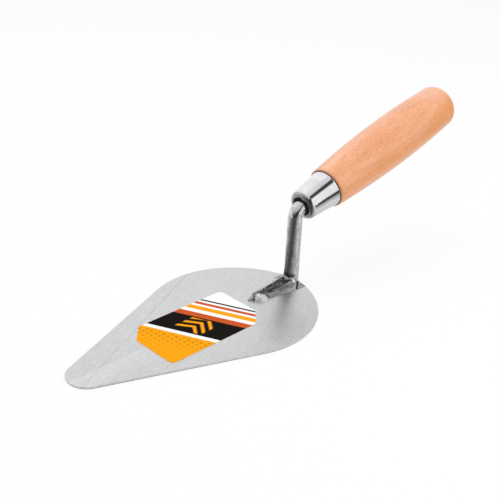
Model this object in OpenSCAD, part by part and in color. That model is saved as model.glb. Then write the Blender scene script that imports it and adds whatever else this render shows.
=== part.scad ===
// Brick trowel: a flat steel blade, a cranked steel shank welded on at the heel,
// a plated ferrule, a turned wooden handle and a printed label.
// The origin is on the blade's underside below the shank. +X points to the
// handle and +Z up. All sizes are in millimetres.

/* [Blade] */
// Length of the blade from tip to heel
blade_l = 180; // [160:1:300]
// Greatest width of the blade
blade_w = 100; // [86:1:150]
// Distance from the heel edge to the widest place
blade_widest = 58; // [45:1:70]
// Thickness of the blade
blade_t = 1.2; // [0.8:0.1:3]
// Radius of the rounded tip
tip_r = 12; // [4:1:20]
// Radius of the rounded heel
heel_r = 32; // [20:1:40]
// Bare strip of blade between the shank and the heel edge
heel_edge = 0.1; // [0.1:0.1:6]

/* [Shank] */
// Diameter of the round shank
shank_d = 9.6; // [8:0.1:12]
// Lean of the upright toward the tip, in degrees
shank_lean = 3; // [0:0.5:10]
// Height of the crank's corner above the blade's underside
crank_h = 52.7; // [40:0.1:80]
// Radius of the crank's bend on the shank's centre line
bend_r = 7.5; // [6.5:0.5:16]
// Rise of the handle toward its butt, in degrees
handle_rise = 16; // [0:1:30]
// Diameter of the tang inside the handle
tang_d = 7; // [5:0.1:7.5]
// Length of the tang behind its shoulder
tang_l = 62; // [30:1:90]
// Length of the tang's tapered point
tang_point = 8; // [3:1:15]

/* [Foot] */
// Length of the foot from the shank's axis to its nose
foot_l = 36; // [24:1:60]
// Height of the foot on the blade at the shank
foot_h = 4.2; // [3.5:0.1:9]
// Height of the foot on the blade at its nose
foot_nose_h = 2.4; // [1:0.1:3.4]
// Width of the foot's top at its nose
foot_nose_w = 2.4; // [1:0.1:6]
// How far the foot's base spreads past its top on each side
foot_flare = 2.4; // [1:0.1:5]

/* [Welds] */
// Leg of the bead along each side of the foot
weld_leg = 1.3; // [0.5:0.1:2]
// Radius of the weld pool at the nose, on the blade
weld_nose_r = 4.2; // [2:0.1:7]
// Height of the weld pool at the nose
weld_nose_h = 2.3; // [1:0.1:4]
// Radius of the bead round the back of the shank
weld_heel_r = 1.4; // [0.6:0.1:3]

/* [Ferrule] */
// Length of the ferrule
ferrule_l = 23.5; // [16:0.5:40]
// Outer diameter at the mouth end
ferrule_front_d = 20; // [18:0.5:23]
// Outer diameter at the handle end
ferrule_back_d = 24.5; // [23.5:0.5:26]
// Wall of the ferrule
ferrule_wall = 1.2; // [0.6:0.1:2]
// Radius of the lip that turns in to the mouth
ferrule_lip = 3; // [2.1:0.1:3.2]
// Distance from the crank's corner to the mouth
mouth_from_corner = 5.2; // [4:0.1:15]

/* [Handle] */
// Length of the wooden grip behind the ferrule
handle_l = 127.5; // [100:0.5:180]
// Diameter of the grip at the ferrule
handle_front_d = 26.8; // [26:0.1:30]
// Greatest diameter of the grip
handle_max_d = 33.5; // [31:0.1:40]
// Distance from the ferrule to the greatest diameter
handle_max_at = 72; // [50:1:90]
// Bevel round the grip's front edge
handle_bevel = 1; // [0.4:0.1:2]
// Radius of the domed butt
butt_dome_r = 70; // [40:1:150]
// Radius of the rounded edge of the butt
butt_edge_r = 6.5; // [3:0.5:10]
// Length of the spigot inside the ferrule
spigot_l = 14; // [8:0.5:18]

/* [Label] */
// Length of the label along the blade
label_l = 77; // [40:1:90]
// Width of the label
label_w = 41; // [24:1:42]
// Radius of the label's two rounded corners
label_r = 3.5; // [1:0.5:9]
// Length cut off each side at the label's two cut corners
label_cut = 10.5; // [2:0.5:11]
// Shift of the label toward the near side of the blade
label_shift = 1; // [0:0.5:2]
// Thickness of the label
label_t = 0.15; // [0.1:0.05:0.4]
// Gap between the label and the weld at the nose
label_gap = 5; // [2:0.5:12]

/* [Fits] */
// Clearance between the spigot and the ferrule
spigot_gap = 0.15; // [0.05:0.05:0.4]
// Clearance between the tang and its hole
tang_gap = 0.1; // [0.05:0.05:0.3]
// Clearance between the grip's front face and the ferrule
seat_gap = 0.3; // [0.05:0.05:0.6]

/* [Hidden] */
$fn = 96;
// Facets on the long arcs of the handle
arc_fn = 1440;
// Straight steps along each arc of the blade's outline
arc_steps = 48;
// Overlap that keeps joined and cut shapes clean
eps = 1;

// Blade outline, measured from the tip along X
shank_r = shank_d / 2;
shank_to_heel = shank_r / cos(shank_lean) + heel_edge;
tip_x = shank_to_heel - blade_l;
shoulder_r = (pow(blade_widest - heel_r, 2) + pow(blade_w / 2, 2) - pow(heel_r, 2)) / (blade_w - 2 * heel_r);
tip_c = [tip_r, 0];
heel_c = [blade_l - heel_r, 0];
shoulder_c = [blade_l - blade_widest, blade_w / 2 - shoulder_r];
side_v = shoulder_c - tip_c;
side_a = atan2(side_v[1], side_v[0]) + asin((shoulder_r - tip_r) / norm(side_v));
heel_v = heel_c - shoulder_c;
heel_a = atan2(heel_v[1], heel_v[0]);
blade_points = concat(
  arc(tip_c, tip_r, 270 - side_a, 90 + side_a),
  arc(shoulder_c, shoulder_r, 90 + side_a, heel_a),
  arc(heel_c, heel_r, heel_a, -heel_a, skip = 1),
  arc(flip(shoulder_c), shoulder_r, -heel_a, -90 - side_a)
);

// Crank of the shank in the XZ plane
corner = [-crank_h * tan(shank_lean), 0, crank_h];
turn = 90 + shank_lean - handle_rise;
bend_t = bend_r * tan(turn / 2);
upright_l = crank_h / cos(shank_lean) - bend_t;
// Step down to the turned end behind the bend, and how far that end starts inside the bend
neck_relief = 0.1;
neck_lap = 0.5;

// Foot, on top of the blade
foot_back = shank_r * 0.6;
foot_draft = foot_flare / foot_h;
foot_nose_base = foot_nose_w / 2 + foot_draft * foot_nose_h;
foot_back_base = shank_r + foot_flare;
weld_nose_ball = (pow(weld_nose_r, 2) + pow(weld_nose_h, 2)) / (2 * weld_nose_h);

// Ferrule, handle and tang, measured along the handle from the crank's corner
seat_s = mouth_from_corner + ferrule_l;
grip_s = seat_s + seat_gap;
spigot_s = seat_s - spigot_l;
mouth_r = ferrule_front_d / 2 - ferrule_lip;
// Spare depth of the hole past the tang's point
tang_spare = 2;
tang_hole_l = tang_l + tang_spare;
ferrule_slope = (ferrule_back_d - ferrule_front_d) / 2 / (ferrule_l - ferrule_lip);
function ferrule_bore_r(s) =
  ferrule_front_d / 2 - ferrule_wall + ferrule_slope * (s - mouth_from_corner - ferrule_lip);

// Grip profile: a long barrel arc, a domed butt and the arc that rounds its edge
handle_r = handle_max_d / 2;
handle_drop = handle_r - handle_front_d / 2;
barrel_r = (pow(handle_max_at, 2) + pow(handle_drop, 2)) / (2 * handle_drop);
barrel_c = [handle_r - barrel_r, handle_max_at];
dome_c = [0, handle_l - butt_dome_r];
butt_c = meet(barrel_c, barrel_r - butt_edge_r, dome_c, butt_dome_r - butt_edge_r);
butt_v1 = (butt_c - barrel_c) / norm(butt_c - barrel_c);
butt_v2 = (butt_c - dome_c) / norm(butt_c - dome_c);

label_x = -foot_l - weld_nose_r - label_gap - label_l / 2;

// Points along an arc, leaving out the given number at each end
function arc(c, r, from, to, skip = 0) =
  [for (i = [skip:arc_steps - skip]) let (a = from + (to - from) * i / arc_steps) c + r * [cos(a), sin(a)]];

// The meeting point, on the left of a to b, of the circles round a and b
function meet(a, ra, b, rb) =
  let (
    d = norm(b - a),
    u = (b - a) / d,
    k = (ra * ra - rb * rb + d * d) / (2 * d)
  )
  a + k * u + sqrt(ra * ra - k * k) * [-u[1], u[0]];

// The same point on the other side of the blade
function flip(p) = [p[0], -p[1]];

module in_upright() {
  rotate([0, -shank_lean, 0])
    children();
}

module in_handle() {
  translate(corner)
    rotate([0, 90 - handle_rise, 0])
      children();
}

// Everything under the blade's upper face
module below_blade_top() {
  side = 2 * (foot_l + blade_w);
  translate([-side / 2, -side / 2, blade_t - side])
    cube(side);
}

module blade_outline() {
  translate([tip_x, 0])
    polygon(blade_points);
}

module blade() {
  color("silver")
    linear_extrude(blade_t)
      blade_outline();
}

// Wedge that spreads the shank's load over the blade
module foot() {
  z0 = blade_t;
  z1 = blade_t + foot_h;
  z2 = blade_t + foot_nose_h;
  polyhedron(
    points = [
      [-foot_back, -foot_back_base, z0],
      [-foot_back, foot_back_base, z0],
      [-foot_back, shank_r, z1],
      [-foot_back, -shank_r, z1],
      [-foot_l, -foot_nose_base, z0],
      [-foot_l, foot_nose_base, z0],
      [-foot_l, foot_nose_w / 2, z2],
      [-foot_l, -foot_nose_w / 2, z2]
    ],
    faces = [[3, 2, 1, 0], [4, 5, 6, 7], [0, 1, 5, 4], [2, 3, 7, 6], [1, 2, 6, 5], [3, 0, 4, 7]]
  );
}

module upright() {
  difference() {
    in_upright()
      cylinder(d = shank_d, h = upright_l);
    below_blade_top();
  }
}

module bend() {
  in_upright()
    translate([bend_r, 0, upright_l])
      rotate([90, 0, 180])
        rotate_extrude(angle = turn)
          translate([bend_r, 0])
            circle(d = shank_d);
}

// The shank's straight end, the shoulder that meets the handle and the tang
module tang() {
  tang_r = tang_d / 2;
  in_handle()
    rotate_extrude()
      polygon([
        [0, bend_t - neck_lap],
        [shank_r - neck_relief, bend_t - neck_lap],
        [shank_r - neck_relief, spigot_s],
        [tang_r, spigot_s],
        [tang_r, spigot_s + tang_l - tang_point],
        [tang_r / 2, spigot_s + tang_l],
        [0, spigot_s + tang_l]
      ]);
}

module shank() {
  color("dimgray")
    union() {
      foot();
      upright();
      bend();
      tang();
    }
}

// Low dome of weld metal round the foot's nose
module nose_pool() {
  translate([-foot_l, 0, blade_t])
    rotate_extrude()
      intersection() {
        translate([0, weld_nose_h - weld_nose_ball])
          circle(r = weld_nose_ball);
        square([weld_nose_ball, weld_nose_h]);
      }
}

// Fillet along the foot's base on one side, from the shank to the nose
module side_bead() {
  function section(x, base) = [
    [x, base, blade_t],
    [x, base + weld_leg, blade_t],
    [x, base - foot_draft * weld_leg, blade_t + weld_leg]
  ];
  polyhedron(
    points = concat(section(-foot_back, foot_back_base), section(-foot_l, foot_nose_base)),
    faces = [[2, 1, 0], [3, 4, 5], [0, 1, 4, 3], [1, 2, 5, 4], [2, 0, 3, 5]]
  );
}

module weld_nose() {
  color("gainsboro")
    difference() {
      nose_pool();
      foot();
    }
}

module weld_sides() {
  color("darkgray")
    difference() {
      union() {
        side_bead();
        mirror([0, 1, 0])
          side_bead();
      }
      nose_pool();
    }
}

module weld_heel() {
  color("gainsboro")
    difference() {
      intersection() {
        in_upright()
          rotate_extrude()
            translate([shank_r, blade_t])
              circle(r = weld_heel_r);
        translate([-foot_back, -blade_w / 2, blade_t])
          cube([foot_back + shank_r * 0.7, blade_w, crank_h]);
      }
      in_upright()
        cylinder(d = shank_d, h = crank_h, center = true);
    }
}

// Half section of a tapered cup with a rounded lip, from the axis out
module ferrule_skin(front_r, back_r, lip) {
  polygon([
    [0, ferrule_lip - lip],
    [mouth_r, ferrule_lip - lip],
    [front_r, ferrule_lip],
    [back_r, ferrule_l],
    [0, ferrule_l]
  ]);
  translate([mouth_r, ferrule_lip])
    circle(r = lip);
}

module ferrule() {
  color("whitesmoke")
    in_handle()
      translate([0, 0, mouth_from_corner])
        rotate_extrude()
          difference() {
            ferrule_skin(ferrule_front_d / 2, ferrule_back_d / 2, ferrule_lip);
            ferrule_skin(ferrule_front_d / 2 - ferrule_wall, ferrule_back_d / 2 - ferrule_wall,
              ferrule_lip - ferrule_wall);
            translate([0, -eps])
              square([mouth_r, ferrule_lip + eps]);
          }
}

module grip_profile() {
  reach = 4 * butt_edge_r;
  difference() {
    intersection() {
      translate(barrel_c)
        circle(r = barrel_r, $fn = arc_fn);
      union() {
        translate(dome_c)
          circle(r = butt_dome_r, $fn = arc_fn);
        square([handle_r + eps, max(eps, dome_c[1])]);
      }
      square([handle_r + eps, handle_l + eps]);
    }
    translate(butt_c)
      polygon([[0, 0], reach * butt_v1, reach * (butt_v1 + butt_v2), reach * butt_v2]);
    polygon([
      [handle_front_d / 2 - handle_bevel, 0],
      [handle_front_d / 2 + eps, -eps],
      [handle_front_d / 2 + eps, handle_bevel + eps],
      [handle_front_d / 2, handle_bevel]
    ]);
  }
  translate(butt_c)
    circle(r = butt_edge_r);
}

module handle() {
  spigot_front_r = ferrule_bore_r(spigot_s) - spigot_gap;
  spigot_back_r = ferrule_bore_r(grip_s) - spigot_gap;
  color("burlywood")
    in_handle()
      difference() {
        union() {
          translate([0, 0, grip_s])
            rotate_extrude()
              grip_profile();
          translate([0, 0, spigot_s])
            cylinder(r1 = spigot_front_r, r2 = spigot_back_r, h = grip_s - spigot_s);
        }
        translate([0, 0, spigot_s - eps])
          cylinder(d = tang_d + 2 * tang_gap, h = tang_hole_l + eps);
      }
}

module label() {
  color("orange")
    translate([label_x, -label_shift, blade_t])
      linear_extrude(label_t) {
        polygon([
          for (s = [1, -1], p = [
            [label_l / 2, label_w / 2 - label_r],
            [label_l / 2 - label_r, label_w / 2],
            [label_cut - label_l / 2, label_w / 2],
            [-label_l / 2, label_w / 2 - label_cut]
          ]) s * p
        ]);
        for (s = [1, -1])
          translate(s * [label_l / 2 - label_r, label_w / 2 - label_r])
            circle(r = label_r);
      }
}

blade();
shank();
weld_nose();
weld_sides();
weld_heel();
ferrule();
handle();
label();
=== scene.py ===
"""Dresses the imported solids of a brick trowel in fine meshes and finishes, and sets the stage round it."""

import math

import bmesh
import bpy
from bpy.props import FloatProperty, FloatVectorProperty, PointerProperty
from mathutils import Matrix, Vector, noise


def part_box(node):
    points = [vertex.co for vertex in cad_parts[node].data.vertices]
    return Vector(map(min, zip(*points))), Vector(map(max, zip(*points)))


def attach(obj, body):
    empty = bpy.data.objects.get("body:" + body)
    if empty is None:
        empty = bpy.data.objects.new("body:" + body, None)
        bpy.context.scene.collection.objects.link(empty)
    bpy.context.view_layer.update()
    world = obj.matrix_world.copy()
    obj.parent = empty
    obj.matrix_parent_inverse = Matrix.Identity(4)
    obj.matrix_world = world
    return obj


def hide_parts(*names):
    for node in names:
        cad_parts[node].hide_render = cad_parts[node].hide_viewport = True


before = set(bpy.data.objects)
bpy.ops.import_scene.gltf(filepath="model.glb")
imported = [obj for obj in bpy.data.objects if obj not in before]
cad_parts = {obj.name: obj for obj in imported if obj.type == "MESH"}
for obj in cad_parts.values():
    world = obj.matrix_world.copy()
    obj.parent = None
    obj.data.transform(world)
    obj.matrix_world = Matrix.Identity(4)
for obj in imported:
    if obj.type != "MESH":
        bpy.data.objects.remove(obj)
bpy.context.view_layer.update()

bl_info = {
    "name": "Brick trowel",
    "version": (1, 0, 0),
    "blender": (4, 5, 0),
    "location": "View3D > Sidebar > Trowel",
    "description": "Builds the fine meshes and finishes of a brick trowel round its solids",
    "category": "Object",
}

MM = 0.001
BODY = "root"
SIDE = Vector((0, 1, 0))
ROOM_EYE = Vector((0, 0, 0.05))


# Settings


def length(name, description, mm):
    """A size in metres, given in millimetres."""
    return FloatProperty(
        name=name, description=description, default=mm * MM, min=0, precision=5,
        unit="LENGTH", subtype="DISTANCE",
    )


def angle(name, description, degrees):
    """An angle, given in degrees."""
    return FloatProperty(name=name, description=description, default=math.radians(degrees), subtype="ANGLE")


def share(name, description, value):
    """A share between 0 and 1."""
    return FloatProperty(name=name, description=description, default=value, min=0, max=1, subtype="FACTOR")


def power(name, description, watts):
    """A lamp's power in watts."""
    return FloatProperty(name=name, description=description, default=watts, min=0, unit="POWER")


def colour(name, description, red, green, blue):
    """A scene-linear colour."""
    return FloatVectorProperty(
        name=name, description=description, default=(red, green, blue), min=0, max=1, size=3, subtype="COLOR",
    )


class BladeSettings(bpy.types.PropertyGroup):
    """Sizes and finish of the blade."""

    long: length("Length", "Tip to heel", 180)
    wide: length("Width", "Greatest width", 100)
    widest: length("Widest place", "Heel edge to the widest place", 58)
    thick: length("Thickness", "Sheet thickness", 1.2)
    tip_r: length("Tip radius", "Rounding of the tip", 12)
    heel_r: length("Heel radius", "Rounding of the heel", 32)
    heel_x: length("Heel edge", "Shank's foot to the heel edge", 4.9066)
    edge: length("Edge rounding", "Rounding of the sheet's edges", 0.28)
    steel: colour("Steel", "Colour of the ground steel", 0.66, 0.66, 0.665)
    rough: share("Roughness", "Roughness of the ground steel", 0.36)


class ShankSettings(bpy.types.PropertyGroup):
    """Sizes and finish of the shank and its foot."""

    rod_d: length("Rod diameter", "Diameter of the round rod", 9.6)
    lean: angle("Lean", "Lean of the upright toward the tip", 3)
    crank_h: length("Crank height", "Corner of the crank above the floor", 52.7)
    bend_r: length("Bend radius", "Radius of the bend on the centre line", 7.5)
    neck_d: length("Neck diameter", "Diameter inside the ferrule", 9.4)
    tang_d: length("Tang diameter", "Diameter inside the handle", 7)
    tang_l: length("Tang length", "Length behind the shoulder", 62)
    tang_point: length("Tang point", "Length of the tapered end", 8)
    foot_l: length("Foot length", "Shank to the foot's nose", 36)
    foot_back: length("Foot back", "Shank's axis to the foot's back", 1.1)
    foot_h: length("Foot height", "Height at the shank", 4.2)
    nose_h: length("Nose height", "Height at the nose", 2.4)
    nose_w: length("Nose width", "Width of the top at the nose", 2.4)
    flare: length("Flare", "Spread of the base past the top", 2.4)
    steel: colour("Rod steel", "Colour of the drawn rod", 0.66, 0.66, 0.665)
    scale: colour("Forge scale", "Colour of the dark forged top", 0.095, 0.094, 0.094)


class WeldSettings(bpy.types.PropertyGroup):
    """Sizes and finish of the welds."""

    leg: length("Leg", "Leg of the side beads", 1.6)
    pool_r: length("Pool radius", "Radius of the pool at the nose", 4.2)
    pool_h: length("Pool height", "Height of the pool at the nose", 2.3)
    heel_r: length("Heel bead", "Radius of the beads beside the rod", 1.4)
    ripple: length("Ripple", "Pitch of the bead's ripples", 1.5)
    metal: colour("Weld metal", "Colour of the bead", 0.7, 0.7, 0.705)
    tint: colour("Heat tint", "Colour of the tinted skin", 0.5, 0.485, 0.53)


class FerruleSettings(bpy.types.PropertyGroup):
    """Sizes and finish of the ferrule."""

    start: length("Mouth place", "Crank's corner to the mouth", 5.2)
    long: length("Length", "Mouth to handle", 23.5)
    front_d: length("Front diameter", "Diameter at the mouth end", 20)
    back_d: length("Back diameter", "Diameter at the handle end", 24.5)
    wall: length("Wall", "Wall thickness", 1.2)
    lip: length("Lip radius", "Radius of the turned-in lip", 3)
    chrome: colour("Plating", "Colour of the bright plating", 0.84, 0.845, 0.85)


class HandleSettings(bpy.types.PropertyGroup):
    """Sizes and finish of the handle."""

    rise: angle("Rise", "Rise toward the butt", 16)
    long: length("Length", "Grip behind the ferrule", 127.5)
    front_d: length("Front diameter", "Grip at the ferrule", 26.8)
    max_d: length("Greatest diameter", "Grip at its thickest", 33.5)
    max_at: length("Thickest place", "Ferrule to the thickest place", 72)
    bevel: length("Bevel", "Rounding of the front edge", 1)
    dome_r: length("Dome radius", "Radius of the domed butt", 70)
    edge_r: length("Butt edge", "Rounding of the butt's edge", 6.5)
    spigot_l: length("Spigot", "Length inside the ferrule", 14)
    gap: length("Seat gap", "Clearance behind the ferrule", 0.3)
    fit: length("Spigot fit", "Clearance inside the ferrule", 0.15)
    hole_fit: length("Hole fit", "Clearance round the tang", 0.1)
    pale: colour("Pale wood", "Colour of the pale grain", 0.84, 0.396, 0.2)
    warm: colour("Warm wood", "Colour of the warm grain", 0.71, 0.265, 0.108)
    amber: colour("Amber wood", "Colour of the amber patches", 0.73, 0.275, 0.066)
    blush: colour("Blush wood", "Colour of the palest patches", 0.86, 0.465, 0.3)
    fleck: colour("Fleck", "Colour of flecks and pores", 0.44, 0.16, 0.06)


class LabelSettings(bpy.types.PropertyGroup):
    """Inks of the label."""

    paper: colour("Paper", "Unprinted paper", 0.9, 0.9, 0.89)
    amber: colour("Amber", "Main ink", 0.93, 0.36, 0.004)
    rust: colour("Rust", "Second ink", 0.58, 0.09, 0.018)
    black: colour("Black", "Dark ink", 0.006, 0.004, 0.0035)


class StageSettings(bpy.types.PropertyGroup):
    """Floor, lamps and camera."""

    floor: colour("Floor", "Colour of the floor", 0.9, 0.9, 0.9)
    sky: share("Sky", "Strength of the even light from all round", 0.8)
    key: power("Key lamp", "Large soft lamp behind and above", 3.5)
    fill: power("Fill lamp", "Large soft lamp beside the camera", 2.5)
    sheen: power("Sheen lamp", "Lamp that only the handle's lacquer mirrors", 2.6)
    lens: FloatProperty(name="Lens", description="Focal length in millimetres", default=64.684, min=1)
    camera_at: FloatVectorProperty(
        name="Camera place", description="Where the camera stands", size=3, precision=5,
        default=(-0.403146, -0.321145, 0.28165), subtype="TRANSLATION", unit="LENGTH",
    )
    azimuth: angle("Azimuth", "Camera's turn round the object", -48.326)
    elevation: angle("Elevation", "Camera's height above the horizon", 26.809)
    roll: angle("Roll", "Camera's roll", 4.892)


class TrowelSettings(bpy.types.PropertyGroup):
    """All settings of the trowel."""

    blade: PointerProperty(type=BladeSettings)
    shank: PointerProperty(type=ShankSettings)
    weld: PointerProperty(type=WeldSettings)
    ferrule: PointerProperty(type=FerruleSettings)
    handle: PointerProperty(type=HandleSettings)
    label: PointerProperty(type=LabelSettings)
    stage: PointerProperty(type=StageSettings)


# Shader maths


# Places of a Mix node's colour sockets
MIX_FACTOR = 0
MIX_LOW = 6
MIX_HIGH = 7
MIX_OUT = 2


class Value:
    """One output of a node. Sums, products and powers of values add Math nodes."""

    def __init__(self, tree, socket):
        self.tree = tree
        self.socket = socket

    def math(self, operation, *terms):
        return self.tree.node("ShaderNodeMath", {"operation": operation}, dict(enumerate(terms)))

    def __add__(self, other):
        return self.math("ADD", self, other)

    __radd__ = __add__

    def __sub__(self, other):
        return self.math("SUBTRACT", self, other)

    def __rsub__(self, other):
        return self.math("SUBTRACT", other, self)

    def __mul__(self, other):
        return self.math("MULTIPLY", self, other)

    __rmul__ = __mul__

    def __truediv__(self, other):
        return self.math("DIVIDE", self, other)

    def __rtruediv__(self, other):
        return self.math("DIVIDE", other, self)

    def __pow__(self, other):
        return self.math("POWER", self, other)

    def __rpow__(self, other):
        return self.math("POWER", other, self)

    def __abs__(self):
        return self.math("ABSOLUTE", self)

    def least(self, other):
        return self.math("MINIMUM", self, other)

    def most(self, other):
        return self.math("MAXIMUM", self, other)

    def fract(self):
        return self.math("FRACT", self)

    def root(self):
        return self.math("SQRT", self)

    def rise(self, low, high):
        """0 below low and 1 above high, with a soft step between; high may be the lower number."""
        return self.tree.node(
            "ShaderNodeMapRange", {"interpolation_type": "SMOOTHSTEP"},
            {"Value": self, "From Min": low, "From Max": high},
        )

    def band(self, start, full, fade, end):
        """1 from full to fade, with soft steps down to 0 at start and end."""
        return self.rise(start, full) * self.rise(end, fade)

    def swing(self, amount):
        """How far the value lies from one half, times an amount."""
        return (self - 0.5) * amount

    def parts(self):
        """The three parts of a vector."""
        node = self.tree.node("ShaderNodeSeparateXYZ", {}, {0: self}).socket.node
        return [Value(self.tree, out) for out in node.outputs]


class Finish:
    """A material's or world's nodes, built from values."""

    def __init__(self, owner):
        owner.use_nodes = True
        self.owner = owner
        self.nodes = owner.node_tree.nodes
        self.links = owner.node_tree.links
        self.nodes.clear()

    def node(self, kind, settings, sockets, out=0):
        """Adds a node: its settings first, then the values or links of its sockets."""
        made = self.nodes.new(kind)
        for key, value in settings.items():
            setattr(made, key, value)
        for key, value in sockets.items():
            if isinstance(value, Value):
                self.links.new(value.socket, made.inputs[key])
            else:
                made.inputs[key].default_value = value
        return Value(self, made.outputs[out] if made.outputs else None)

    def place(self):
        """The three coordinates in the part's frame, in millimetres."""
        at = self.node("ShaderNodeTexCoord", {}, {}, "Object")
        at = self.node("ShaderNodeVectorMath", {"operation": "SCALE"}, {0: at, "Scale": 1 / MM})
        return at.parts()

    def vector(self, x, y, z):
        return self.node("ShaderNodeCombineXYZ", {}, {0: x, 1: y, 2: z})

    def noise(self, x, y, z, detail, rough):
        """Soft noise from 0 to 1 with features about one unit across."""
        return self.node(
            "ShaderNodeTexNoise", {},
            {"Vector": self.vector(x, y, z), "Scale": 1.0, "Detail": detail, "Roughness": rough},
        )

    def mix(self, factor, low, high):
        """A colour between two colours."""
        low, high = (c if isinstance(c, Value) else (*c, 1) for c in (low, high))
        kind = {"data_type": "RGBA", "clamp_factor": True}
        ends = {MIX_FACTOR: factor, MIX_LOW: low, MIX_HIGH: high}
        return self.node("ShaderNodeMix", kind, ends, MIX_OUT)

    def blend(self, factor, first, second):
        """A surface between two surfaces."""
        return self.node("ShaderNodeMixShader", {}, {0: factor, 1: first, 2: second})

    def bump(self, height, depth):
        """A normal from a height of 0 to 1 that stands for a depth in millimetres."""
        return self.node("ShaderNodeBump", {}, {"Height": height, "Distance": depth * MM, "Strength": 1.0})

    def surface(self, **sockets):
        """Ends the material in a Principled shader, whose sockets are named in small letters."""
        named = {key.replace("_", " ").title().replace("Ior", "IOR"): value for key, value in sockets.items()}
        shader = self.node("ShaderNodeBsdfPrincipled", {}, named)
        self.node("ShaderNodeOutputMaterial", {}, {"Surface": shader})
        return self.owner


def new_finish(name):
    return Finish(bpy.data.materials.new(name))


def dim(colour, amount):
    """A colour made darker or lighter by an amount."""
    return [part * amount for part in colour]


def neutral(level):
    """A grey from its level."""
    return [level] * 3


# Finishes


# Near black: painted shade in the crack behind the foot, and the weld's dark seam and nick
SHADE_AND_SEAM_BLACK = neutral(0.025)
# The crack behind the foot in millimetres: where it leaves the rod, its slant, and the band of painted shade
# along it
CRACK_AHEAD = 1.55
CRACK_ASIDE = 4.5
CRACK_SLANT = 1.31
CRACK_SHADE = (-1.3, -0.8, 0.7, 1.3)


def behind_crack(x, y):
    """How far a point lies behind the crack from the rod's side to the ends of the side beads."""
    return x - CRACK_AHEAD + (abs(y) - CRACK_ASIDE) * CRACK_SLANT


def ground_steel(s):
    """Sheet steel ground along the blade, with a faint straight grinder's line, and painted shade on its cut
    edges, round the shank's heel and in the crack behind the foot.
    """
    f = new_finish("ground_steel")
    x, y, z = f.place()
    # The grain runs a little across the blade
    along = x * 0.97 + y * 0.23
    across = y * 0.97 - x * 0.23
    fine = f.noise(along * 0.3, across * 4.2, z, 3, 0.6)
    coarse = f.noise(along * 0.13, across * 0.85, z, 3, 0.6)
    cloud = f.noise(x * 0.03, y * 0.035, z, 3, 0.55)
    speck = f.noise(x * 0.75, y * 1.0, z, 3, 0.7)
    # The line runs from the near side of the tip to the far edge
    start = Vector((-173.0, -7.7))
    way = (Vector((-46.9, 48.8)) - start).normalized()
    line = abs((y - start.y) * way.x - (x - start.x) * way.y).rise(0.75, 0.05)
    # A paler streak lies along the middle near the tip
    pale = y.band(-16.0, -2.0, -0.3, 0.9) * x.rise(-112.0, -130.0)
    tone = fine.swing(0.6) + coarse.swing(0.9) + cloud.swing(0.35) + speck.swing(1.6)
    tone = tone + 0.6 - line * 0.3 + pale * 0.22
    base = f.mix(tone, dim(s.steel, 0.8), dim(s.steel, 1.14))
    # Painted shade on the lower part of the cut edges
    shaded_edge = z.rise(0.9, 0.2)
    base = f.mix(shaded_edge * 0.8, base, dim(s.steel, 0.2))
    # Painted shade in specks round the shank's heel, and painted shadow in the crack behind the foot
    behind = behind_crack(x, y)
    heel_shade = behind.rise(-0.4, 1.0) * abs(y).rise(10.8, 10.0)
    base = f.mix(heel_shade * speck.rise(0.3, 0.5) * 0.9, base, dim(s.steel, 0.32))
    base = f.mix(behind.band(*CRACK_SHADE) * abs(y).rise(9.2, 8.4), base, SHADE_AND_SEAM_BLACK)
    rough = fine.swing(0.12) + cloud.swing(0.08) + s.rough + line * 0.08
    normal = f.bump(fine * 0.6 + speck * 0.4 - line * 0.6, 0.006)
    return f.surface(base_color=base, metallic=1.0, roughness=rough, normal=normal)


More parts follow.
